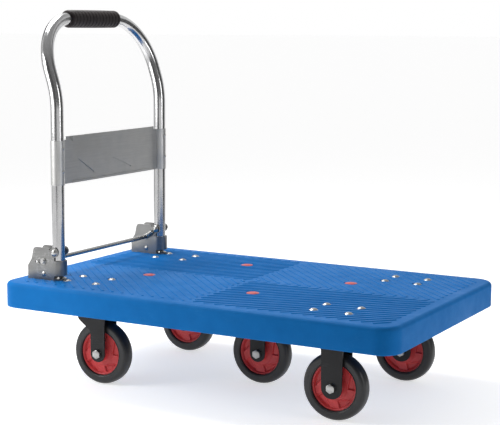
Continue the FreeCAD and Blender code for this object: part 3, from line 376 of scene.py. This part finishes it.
def finish_material(name, colour, dark, worn, dusty, rough, texture, texture_values, relief, scratch=0.4,
                    edge=0.5,
                    dust=0.25, edge_radius=0.0009, spread=0.08, metal=0.0, fixed=None):
    """One finish. Colour varies between colour and dark with the texture, turns to worn on edges and in
    scratches, and to dusty where dust lies. Roughness varies by spread and rises with dust and wear."""
    material = bpy.data.materials.new(name + "_finish")
    material.use_nodes = True
    tree = material.node_tree
    shader = tree.nodes["Principled BSDF"]
    body = group_node(tree, texture, **texture_values)
    marks = group_node(tree, SCRATCHES, Amount=scratch, Size=1.0)
    rubbed = group_node(tree, EDGES, Edge_radius=edge_radius, Edge=edge, Dust=dust)
    shade = blend_colour(tree, body.outputs["Tint"], (*dark, 1), (*colour, 1))
    used = sums(tree, "MAXIMUM", rubbed.outputs["Edge mask"], marks.outputs["Mask"])
    shade = blend_colour(tree, used, shade, (*worn, 1))
    shade = blend_colour(tree, rubbed.outputs["Dust mask"], shade, (*dusty, 1))
    tree.links.new(shade, shader.inputs["Base Color"])
    varied = stretch(tree, body.outputs["Tint"], 0.0, 1.0, rough + spread, rough - spread)
    lifted = sums(tree, "ADD", varied, sums(tree, "MULTIPLY", rubbed.outputs["Dust mask"], 0.3))
    lifted = sums(tree, "ADD", lifted, sums(tree, "MULTIPLY", marks.outputs["Mask"], 0.12), clamp=True)
    tree.links.new(lifted, shader.inputs["Roughness"])
    if metal:
        bare = sums(tree, "MULTIPLY", sums(tree, "SUBTRACT", 1.0, rubbed.outputs["Dust mask"]), metal)
        tree.links.new(bare, shader.inputs["Metallic"])
    fine = add(tree, "Bump", {"Height": body.outputs["Height"], "Strength": 1.0, "Distance": relief})
    cut = add(tree, "Bump", {"Height": marks.outputs["Height"], "Strength": 0.5, "Distance": 0.00006,
                             "Normal": fine.outputs[0]})
    tree.links.new(cut.outputs[0], shader.inputs["Normal"])
    for label, value in (fixed or {}).items():
        shader.inputs[label].default_value = value
    return material


def cast(cells, uneven):
    """The moulded grain, with its cells to a metre and its unevenness."""
    return dict(texture=GRAIN, texture_values={"Cells_per_metre": cells, "Unevenness": uneven})


def drawn(x, y, z):
    """Drawn metal, squeezed by x, y and z to a metre."""
    return dict(texture=BRUSHED, texture_values={"Squeeze": (x, y, z)})


DUST = (0.42, 0.40, 0.37)
FINISHES = {
    "deck_blue": finish_material("deck_blue", (0.006, 0.142, 0.43), (0.004, 0.116, 0.36), (0.03, 0.20, 0.50),
                                 (0.07, 0.22, 0.44), 0.50, relief=0.00007, scratch=0.25, edge=0.35, dust=0.08,
                                 edge_radius=0.0016, fixed={"Specular IOR Level": 0.05}, **cast(1100.0, 0.5)),
    "plug_red": finish_material("plug_red", (0.55, 0.040, 0.045), (0.44, 0.028, 0.032), (0.66, 0.16, 0.15),
                                DUST, 0.38, relief=0.00005, dust=0.12, **cast(1200.0, 0.4)),
    "hub_red": finish_material("hub_red", (0.60, 0.048, 0.052), (0.50, 0.032, 0.036), (0.68, 0.16, 0.15),
                               (0.46, 0.22, 0.20), 0.42, relief=0.00006, dust=0.12, edge=0.5,
                               edge_radius=0.0014,
                               fixed={"Specular IOR Level": 0.4}, **cast(1000.0, 0.5)),
    "tyre_black": finish_material("tyre_black", (0.014, 0.014, 0.015), (0.009, 0.009, 0.010),
                                  (0.05, 0.048, 0.045),
                                  (0.10, 0.095, 0.09), 0.42, relief=0.00009, scratch=0.3, edge=0.35,
                                  dust=0.12,
                                  edge_radius=0.0015, fixed={"Specular IOR Level": 0.5}, **cast(1300.0, 0.6)),
    "caster_black": finish_material("caster_black", (0.012, 0.012, 0.013), (0.008, 0.008, 0.009),
                                    (0.09, 0.09, 0.09),
                                    (0.11, 0.105, 0.10), 0.42, relief=0.00008, scratch=0.3, edge=0.6,
                                    dust=0.08,
                                    fixed={"Specular IOR Level": 0.25}, **cast(1500.0, 0.8)),
    "zinc_fasteners": finish_material("zinc_fasteners", (0.44, 0.44, 0.43), (0.32, 0.32, 0.315),
                                      (0.78, 0.78, 0.78),
                                      DUST, 0.32, relief=0.00005, scratch=0.5, edge=0.5, dust=0.15,
                                      metal=0.95,
                                      **cast(700.0, 0.6)),
    "bearing_steel": finish_material("bearing_steel", (0.50, 0.50, 0.50), (0.36, 0.36, 0.36),
                                     (0.75, 0.75, 0.75),
                                     DUST, 0.28, relief=0.00003, scratch=0.3, dust=0.1, metal=1.0,
                                     **drawn(500.0, 20.0, 500.0)),
    "bearing_plastic": finish_material("bearing_plastic", (0.02, 0.02, 0.022), (0.014, 0.014, 0.015),
                                       (0.10, 0.10, 0.10), DUST, 0.45, relief=0.00005, dust=0.1,
                                       **cast(1200.0, 0.4)),
    "tube_steel": finish_material("tube_steel", (0.54, 0.54, 0.545), (0.43, 0.43, 0.435), (0.80, 0.80, 0.80),
                                  (0.50, 0.49, 0.47), 0.18, relief=0.00003, scratch=0.4, edge=0.3, dust=0.08,
                                  spread=0.04, metal=0.98, **drawn(420.0, 420.0, 9.0)),
    "panel_steel": finish_material("panel_steel", (0.52, 0.52, 0.51), (0.43, 0.43, 0.425), (0.62, 0.62, 0.62),
                                   DUST, 0.40, relief=0.00006, scratch=0.4, edge=0.5, dust=0.1, metal=0.9,
                                   **drawn(500.0, 10.0, 500.0)),
    "bracket_steel": finish_material("bracket_steel", (0.25, 0.25, 0.245), (0.18, 0.18, 0.177),
                                     (0.66, 0.66, 0.66),
                                     DUST, 0.34, relief=0.00006, scratch=0.5, edge=0.6, dust=0.12, metal=0.92,
                                     **cast(800.0, 0.8)),
    "rod_steel": finish_material("rod_steel", (0.50, 0.50, 0.49), (0.38, 0.38, 0.38), (0.76, 0.76, 0.76),
                                 DUST, 0.26, relief=0.00004, scratch=0.4, dust=0.1, metal=0.97,
                                 **drawn(500.0, 12.0, 500.0)),
    "spring_steel": finish_material("spring_steel", (0.56, 0.56, 0.54), (0.40, 0.40, 0.39),
                                    (0.75, 0.75, 0.75),
                                    DUST, 0.3, relief=0.00002, scratch=0.2, dust=0.1, metal=0.97,
                                    **cast(900.0, 0.4)),
    "grip_rubber": finish_material("grip_rubber", (0.013, 0.0075, 0.008), (0.008, 0.005, 0.0055),
                                   (0.07, 0.045, 0.045),
                                   (0.10, 0.075, 0.072), 0.6, relief=0.00014, scratch=0.12, edge=0.35,
                                   dust=0.12,
                                   edge_radius=0.0016, fixed={"Specular IOR Level": 0.3},
                                   **cast(1600.0, 0.5)),
    "cap_black": finish_material("cap_black", (0.013, 0.013, 0.014), (0.009, 0.009, 0.010),
                                 (0.09, 0.09, 0.09),
                                 DUST, 0.36, relief=0.00005, dust=0.08, **cast(1300.0, 0.4)),
    "plug_plastic": finish_material("plug_plastic", (0.016, 0.016, 0.017), (0.011, 0.011, 0.012),
                                    (0.09, 0.09, 0.09),
                                    DUST, 0.42, relief=0.00005, dust=0.1, **cast(1200.0, 0.4)),
}
for node, obj in NODES.items():
    obj.material_slots[0].material = FINISHES[SLOT_OF[node]]


# ---------------------------------------------------------------- wheels

TYRE_SEAT_HALF = 10.5 * MM
HUB_BOSS = 14.0 * MM
HUB_WEB = (9.5 * MM, 7.0 * MM)
HUB_RIM_WALL = 3.0 * MM
POCKET_APEX, POCKET_DEPTH, POCKET_LAND = 28.0 * MM, 3.0 * MM, 1.5 * MM

for wheel in WHEELS:
    body = "wheel_" + wheel
    low, high, centre = spans("tyre_" + wheel)
    outer, half = (high[0] - low[0]) / 2, (high[1] - low[1]) / 2
    hub_low, hub_high, _ = spans("hub_" + wheel)
    rim_outer, boss_half = (hub_high[0] - hub_low[0]) / 2, (hub_high[1] - hub_low[1]) / 2
    bearing_low, bearing_high, _ = spans("wheel_bearing_" + wheel)
    bore = (bearing_high[0] - bearing_low[0]) / 2
    rim_half = TYRE_SEAT_HALF
    section = tyre_profile(rim_outer, outer, half, rim_half)
    piece("tyre_" + wheel + "_moulded", [lathe(section, centre, 168)], body, ["tyre_" + wheel],
          FINISHES["tyre_black"], 50)
    rim_inner = rim_outer - HUB_RIM_WALL
    section = hub_profile(bore, HUB_BOSS, boss_half, HUB_WEB, rim_inner, rim_half, rim_outer)
    pockets = hub_pockets(5, POCKET_APEX, POCKET_DEPTH, rim_inner - POCKET_LAND)
    piece("hub_" + wheel + "_moulded", [lathe(section, centre, 300, pockets)], body,
          ["hub_" + wheel],
          FINISHES["hub_red"], 50)


# ---------------------------------------------------------------- handle

def handle_path(pivot, half_width, foot, lean_start, lean, lean_radius, bend, height):
    """Centre line of the handle's tube from the right foot to the left one. Each side goes straight up,
    round an arc that leans it back, on straight, and round a quarter circle of radius bend to the top."""
    turn = np.linspace(0, lean, 24)
    arc_x = pivot[0] - lean_radius * (1 - np.cos(turn))
    arc_z = lean_start + lean_radius * np.sin(turn)
    way = np.array([-math.sin(lean), math.cos(lean)])
    top = np.array([arc_x[-1], arc_z[-1]]) + way * (height - arc_z[-1]) / way[1]
    shoulder = top - way * bend
    quarter = np.linspace(0, math.pi / 2, 40)
    bend_x = shoulder[0] + way[0] * bend * np.sin(quarter)
    bend_z = shoulder[1] + way[1] * bend * np.sin(quarter)
    inward = bend * (1 - np.cos(quarter))
    foot_z = np.linspace(foot, lean_start, 40)[:-1]
    back = np.linspace(0, 1, 12)[1:-1]
    x = np.concatenate([0 * foot_z + pivot[0], arc_x, arc_x[-1] + (shoulder[0] - arc_x[-1]) * back, bend_x])
    z = np.concatenate([foot_z, arc_z, arc_z[-1] + (shoulder[1] - arc_z[-1]) * back, bend_z])
    y = np.concatenate([np.zeros(len(x) - len(quarter)), inward]) - half_width
    across = np.linspace(y[-1], -y[-1], 62)[1:-1]
    x = np.concatenate([x, 0 * across + x[-1], x[::-1]])
    z = np.concatenate([z, 0 * across + z[-1], z[::-1]])
    y = np.concatenate([y, across, -y[::-1]])
    return np.stack([x, y, z], axis=1)


PIVOT = np.array(next(j["pos_m"] for j in frame["joints"] if j["name"] == "handle_fold"))
tube_low, tube_high, _ = spans("handle_tube")
tube_radius, tube_wall = 13.5 * MM, 1.5 * MM
lean_start, lean_angle, lean_radius, top_bend = 577 * MM, math.radians(18), 200 * MM, 114 * MM
half_width = tube_high[1] - tube_radius
path = handle_path(PIVOT, half_width, tube_low[2], lean_start, lean_angle, lean_radius, top_bend,
                   tube_high[2] - tube_radius)
count = len(path)
outside = np.stack([np.arange(count), np.full(count, tube_radius)], axis=1)
inside = np.stack([np.arange(count)[::-1], np.full(count, tube_radius - tube_wall)], axis=1)


def tube_sections(path, profile, sides):
    """Sections of the handle's tube. The circle's first direction is square to the tube's own plane,
    so that it never turns round along the tube."""
    lean = np.array([path[len(path) // 2][0] - path[len(path) // 3][0], 0,
                     path[len(path) // 2][2] - path[len(path) // 3][2]])
    facing = np.array([lean[2], 0.0, -lean[0]])
    return carried(path, profile, sides, facing / np.linalg.norm(facing))


piece("handle_tube_drawn", [tube_sections(path, np.concatenate([outside, inside]), 56)], "handle",
      ["handle_tube"], FINISHES["tube_steel"], 40)

grip_low, grip_high, _ = spans("handle_grip")
lengths = np.concatenate([[0], np.cumsum(np.linalg.norm(np.diff(path, axis=0), axis=1))])
middle = np.interp(0.0, path[40:-40, 1], lengths[40:-40])
grip_radius = grip_high[2] - (tube_high[2] - tube_radius)
along = np.linspace(grip_low[1], grip_high[1], 520)
grip_length = along[-1] - along[0]
near_end = np.minimum(along - along[0], along[-1] - along)
end_round = 5.4 * MM
radius = grip_radius - end_round + np.sqrt(np.maximum(0, end_round ** 2 - np.maximum(0, end_round - near_end) ** 2))
rings = np.arange(14)
ring_at = along[0] + 2 * end_round + rings * (grip_length - 4 * end_round) / 13
for at in ring_at:
    radius = radius - 1.5 * MM * dip(along, at, 1.3 * MM)
radius = radius + 0.35 * MM * np.sin((along - along[0]) * math.pi / grip_length) - 0.35 * MM
index = np.interp(middle + along, lengths, np.arange(count))
outer_rows = np.stack([index, radius], axis=1)
inner_rows = np.stack([index[::-40], np.full(len(index[::-40]), tube_radius)], axis=1)
piece("handle_grip_ringed", [tube_sections(path, np.concatenate([outer_rows, inner_rows]), 64)], "handle",
      ["handle_grip"], FINISHES["grip_rubber"], 50)


# ---------------------------------------------------------------- springs, plugs

def wire(path, radius, across, sides=10):
    """A closed round wire along a path, its ends drawn in to a point."""
    count = len(path)
    rows = np.concatenate([[[0, 0]], np.stack([np.arange(count), np.full(count, radius)], axis=1),
                           [[count - 1, 0]]])
    return carried(path, rows, sides, across)


def spring_sheets(upper, lower, upper_eye, lower_eye, neck, coil, thick, inward):
    """Extension spring. Its eyes are nearly full circles round upper and lower, its necks are straight, and
    its close coil is a helix whose near side lies on the line between the eyes, one thickness to a turn."""
    way = (lower - upper) / np.linalg.norm(lower - upper)
    sideways = np.array([0.0, 1.0, 0.0])
    square = np.cross(way, sideways)
    sheets = []
    for centre, eye, sign in ((upper, upper_eye, 1), (lower, lower_eye, -1)):
        turn = np.linspace(0.05, 2 * math.pi - 0.45, 46)[:, None]
        loop = centre + eye * (sign * way * np.cos(turn) + square * np.sin(turn))
        sheets.append(wire(loop, thick / 2, sideways))
    start, end = upper + way * neck, lower - way * (lower_eye + 1.5 * thick)
    for here, there in ((upper + way * upper_eye, start), (end, lower - way * lower_eye)):
        sheets.append(wire(here + (there - here) * np.linspace(0, 1, 5)[:, None], thick / 2, sideways))
    turns = max(3, round(np.linalg.norm(end - start) / (thick * 1.03)))
    t = np.linspace(0, 1, turns * 20 + 1)[:, None]
    phase = 2 * math.pi * turns * t
    middle = start + (end - start) * t + sideways * inward * (coil - 0.3 * MM)
    sheets.append(wire(middle + coil * (square * np.sin(phase) - sideways * inward * np.cos(phase)),
                       thick / 2, way))
    return sheets


rod_low, rod_high, rod_mid = spans("foot_rod")
rod_radius = (rod_high[2] - rod_low[2]) / 2
_, spring_high, _ = spans("foot_rod_springs")
spring_thick = 1.4 * MM
spring_sheets_all = []
for side in (-1, 1):
    y = side * (spring_high[1] - 0.3 * MM - spring_thick / 2)
    upper = np.array([PIVOT[0], y, PIVOT[2]])
    lower = np.array([rod_mid[0], y, rod_mid[2]])
    spring_sheets_all += spring_sheets(upper, lower, 5.1 * MM, rod_radius + 1.1 * MM, 10.5 * MM, 3.3 * MM,
                                       spring_thick, -side)
piece("foot_rod_springs_wound", spring_sheets_all, ("deck", "foot_rod", Vector((PIVOT[0], 0, PIVOT[2])),
                                                    Vector((rod_mid[0], 0, rod_mid[2]))),
      ["foot_rod_springs"], FINISHES["spring_steel"], 60)


def plug_sheet(centre, radius, top, bottom):
    """Round plug pressed into the deck: a low dome with a ring groove and a small moulding dimple."""
    far = np.concatenate([np.linspace(0, radius, 30), [radius, radius]])
    share = np.clip(far / radius, 0, 1)
    dome = top - 1.8 * MM * share ** 2.4 - 0.35 * MM * dip(far, radius * 0.74,
                                                           0.6 * MM) - 0.3 * MM * dip(far, 0, 1.2 * MM)
    dome[-2:] = [top - 2.4 * MM, bottom]
    far, dome = np.append(far, 0), np.append(dome, bottom)
    angle = np.linspace(0, 2 * math.pi, 72, endpoint=False)[:, None]
    return np.stack([centre[0] + far * np.cos(angle), centre[1] + far * np.sin(angle), dome + 0 * angle],
                    axis=2)


def islands(node):
    """Middles of a CAD node's separate solids, found by joining vertices that share a face."""
    work = bmesh.new()
    work.from_mesh(NODES[node].data)
    bmesh.ops.remove_doubles(work, verts=work.verts, dist=1e-6)
    left, middles = set(work.verts), []
    while left:
        stack, group = [left.pop()], []
        while stack:
            vertex = stack.pop()
            group.append(vertex.co.copy())
            for edge in vertex.link_edges:
                other = edge.other_vert(vertex)
                if other in left:
                    left.remove(other)
                    stack.append(other)
        points = np.array(group)
        middles.append((points.min(0) + points.max(0)) / 2)
    work.free()
    return middles


plug_low, plug_high, _ = spans("deck_plugs")
plug_sheets = [plug_sheet(middle_point, 13.0 * MM, plug_high[2],
                          plug_low[2]) for middle_point in islands("deck_plugs")]
piece("deck_plugs_domed", plug_sheets, "deck", ["deck_plugs"], FINISHES["plug_red"], 40)


# ---------------------------------------------------------------- pressed and moulded parts

eased_copy("deck", 0.35 * MM, FINISHES["deck_blue"], 26, 26)
for side in ("right", "left"):
    eased_copy("handle_bracket_" + side, 0.5 * MM, FINISHES["bracket_steel"])
    eased_copy("fixed_fork_front_" + side, 0.5 * MM, FINISHES["caster_black"])
for name in ("rear_right", "rear_left", "middle"):
    eased_copy("swivel_fork_" + name, 0.5 * MM, FINISHES["caster_black"])
    eased_copy("swivel_plate_" + name, 0.4 * MM, FINISHES["caster_black"])
    eased_copy("axle_bolt_" + name, 0.35 * MM, FINISHES["zinc_fasteners"])
    eased_copy("axle_nut_" + name, 0.35 * MM, FINISHES["zinc_fasteners"])
eased_copy("handle_panel", 0.5 * MM, FINISHES["panel_steel"])
for name in ("fixed_axle_bolts", "fixed_axle_nuts", "pivot_nuts", "kingpin_nuts"):
    eased_copy(name, 0.35 * MM, FINISHES["zinc_fasteners"])


# ---------------------------------------------------------------- floor, light, camera

def floor_sheet():
    """Plain pale floor: one large flat disc, a fan of rings from its middle."""
    far = np.array([0.0, 1.0, 3.0, 9.0, 27.0, 80.0])
    angle = np.linspace(0, 2 * math.pi, 96, endpoint=False)[:, None]
    sheet = np.stack([far * np.cos(angle), far * np.sin(angle), 0 * far + 0 * angle], axis=2)
    rows, columns = sheet.shape[:2]
    index = np.arange(rows * columns).reshape(rows, columns)
    on = np.roll(index, -1, axis=0)
    faces = np.stack([index[:, :-1], index[:, 1:], on[:, 1:], on[:, :-1]], axis=2).reshape(-1, 4)
    mesh = bpy.data.meshes.new("studio_floor")
    mesh.from_pydata(sheet.reshape(-1, 3).tolist(), [], faces.tolist())
    floor = bpy.data.objects.new("studio_floor", mesh)
    bpy.context.scene.collection.objects.link(floor)
    paper = bpy.data.materials.new("studio_paper")
    paper.use_nodes = True
    shader = paper.node_tree.nodes["Principled BSDF"]
    shader.inputs["Base Color"].default_value = (0.8, 0.8, 0.8, 1)
    shader.inputs["Emission Color"].default_value = (1, 1, 1, 1)
    shader.inputs["Emission Strength"].default_value = 0.58
    shader.inputs["Roughness"].default_value = 0.9
    shader.inputs["Specular IOR Level"].default_value = 0.1
    mesh.materials.append(paper)


def dark_flag(name, place, width, height):
    """An upright grey card beside the object, seen only in its reflections, as a studio flag."""
    mesh = bpy.data.meshes.new(name)
    side = np.array([-place[1], place[0], 0]) / math.hypot(*place) * width / 2
    foot, top = np.array([*place, 0.0]), np.array([*place, height])
    mesh.from_pydata([tuple(foot - side), tuple(foot + side), tuple(top + side), tuple(top - side)], [],
                     [(0, 1, 2, 3)])
    card = bpy.data.objects.new(name, mesh)
    bpy.context.scene.collection.objects.link(card)
    card.visible_camera = card.visible_diffuse = card.visible_shadow = False
    grey = bpy.data.materials.new(name)
    grey.use_nodes = True
    grey.node_tree.nodes["Principled BSDF"].inputs["Base Color"].default_value = (0.05, 0.05, 0.05, 1)
    mesh.materials.append(grey)


def shade_card(name, start, end, height):
    """An upright dark card from start to end on the floor. The camera and the lamps don't see it, but
    it takes away the light that the floor and the air would throw on the object from that side."""
    corners = [(*start, 0.004), (*end, 0.004), (*end, height), (*start, height)]
    mesh = bpy.data.meshes.new(name)
    mesh.from_pydata(corners, [], [(0, 1, 2, 3)])
    card = bpy.data.objects.new(name, mesh)
    bpy.context.scene.collection.objects.link(card)
    card.visible_camera = card.visible_glossy = card.visible_shadow = False
    mesh.materials.append(bpy.data.materials["flag_front"])


def soft_light(name, place, target, width, height, power, tint=(1, 1, 1)):
    """A rectangular softbox that faces target."""
    lamp = bpy.data.lights.new(name, "AREA")
    lamp.shape, lamp.size, lamp.size_y, lamp.energy, lamp.color = "RECTANGLE", width, height, power, tint
    obj = bpy.data.objects.new(name, lamp)
    obj.location = place
    obj.rotation_euler = (Vector(target) - Vector(place)).to_track_quat("-Z", "Y").to_euler()
    bpy.context.scene.collection.objects.link(obj)


floor_sheet()
soft_light("key_left", (-1.05, -0.95, 0.75), (-0.40, -0.15, 0.22), 0.6, 0.6, 10)
soft_light("overhead", (-0.85, 0.2, 1.75), (-0.15, 0.0, 0.2), 0.9, 0.9, 30)
soft_light("strip_right", (2.1, -0.1, 0.9), (0.2, 0.0, 0.25), 0.35, 1.2, 8)
dark_flag("flag_front", (0.2, -3.1), 1.5, 2.6)
dark_flag("flag_left", (-2.6, 0.9), 1.2, 2.6)
dark_flag("flag_right", (2.4, 1.0), 1.0, 2.6)
dark_flag("flag_back_right", (1.0, 1.0), 1.5, 1.6)
shade_card("fill_flag", (0.0, -0.85), (1.9, -0.55), 0.9)


def studio_air(front, back, above):
    """World light by direction: back behind the object, front on the camera's side, above overhead."""
    world = bpy.data.worlds.new("studio_air")
    world.use_nodes = True
    tree = world.node_tree
    way = add(tree, "TexCoord").outputs["Generated"]
    behind = add(tree, "VectorMath", {0: way, 1: (-0.48, 0.88, 0.0)},
                 operation="DOT_PRODUCT").outputs["Value"]
    level = stretch(tree, behind, -0.15, 0.35, front, back)
    height = stretch(tree, add(tree, "SeparateXYZ", {0: way}).outputs[2], 0.35, 0.8)
    mixed = sums(tree, "ADD", sums(tree, "MULTIPLY", level, sums(tree, "SUBTRACT", 1.0, height)),
                 sums(tree, "MULTIPLY", height, above))
    tree.links.new(mixed, tree.nodes["Background"].inputs["Strength"])
    tree.nodes["Background"].inputs["Color"].default_value = (1, 1, 1, 1)
    return world


world = studio_air(0.2, 1.0, 0.42)
bpy.context.scene.world = world
bpy.context.scene.view_settings.view_transform = "Standard"

turn, pitch, roll = math.radians(28.85), math.radians(7.88), math.radians(0.38)
right = Vector((math.cos(turn), math.sin(turn), 0))
ahead = Vector((-math.sin(turn) * math.cos(pitch), math.cos(turn) * math.cos(pitch), -math.sin(pitch)))
above = right.cross(ahead)
camera_right = right * math.cos(roll) + above * math.sin(roll)
camera_up = above * math.cos(roll) - right * math.sin(roll)
camera = bpy.data.objects.new("studio_camera", bpy.data.cameras.new("studio_camera"))
camera.data.lens, camera.data.sensor_width = 98.96, 36.0
camera.matrix_world = (Matrix.Translation((1.38639, -2.52040, 0.76227))
                       @ Matrix((camera_right, camera_up, -ahead)).transposed().to_4x4())
bpy.context.scene.collection.objects.link(camera)
bpy.context.scene.camera = camera
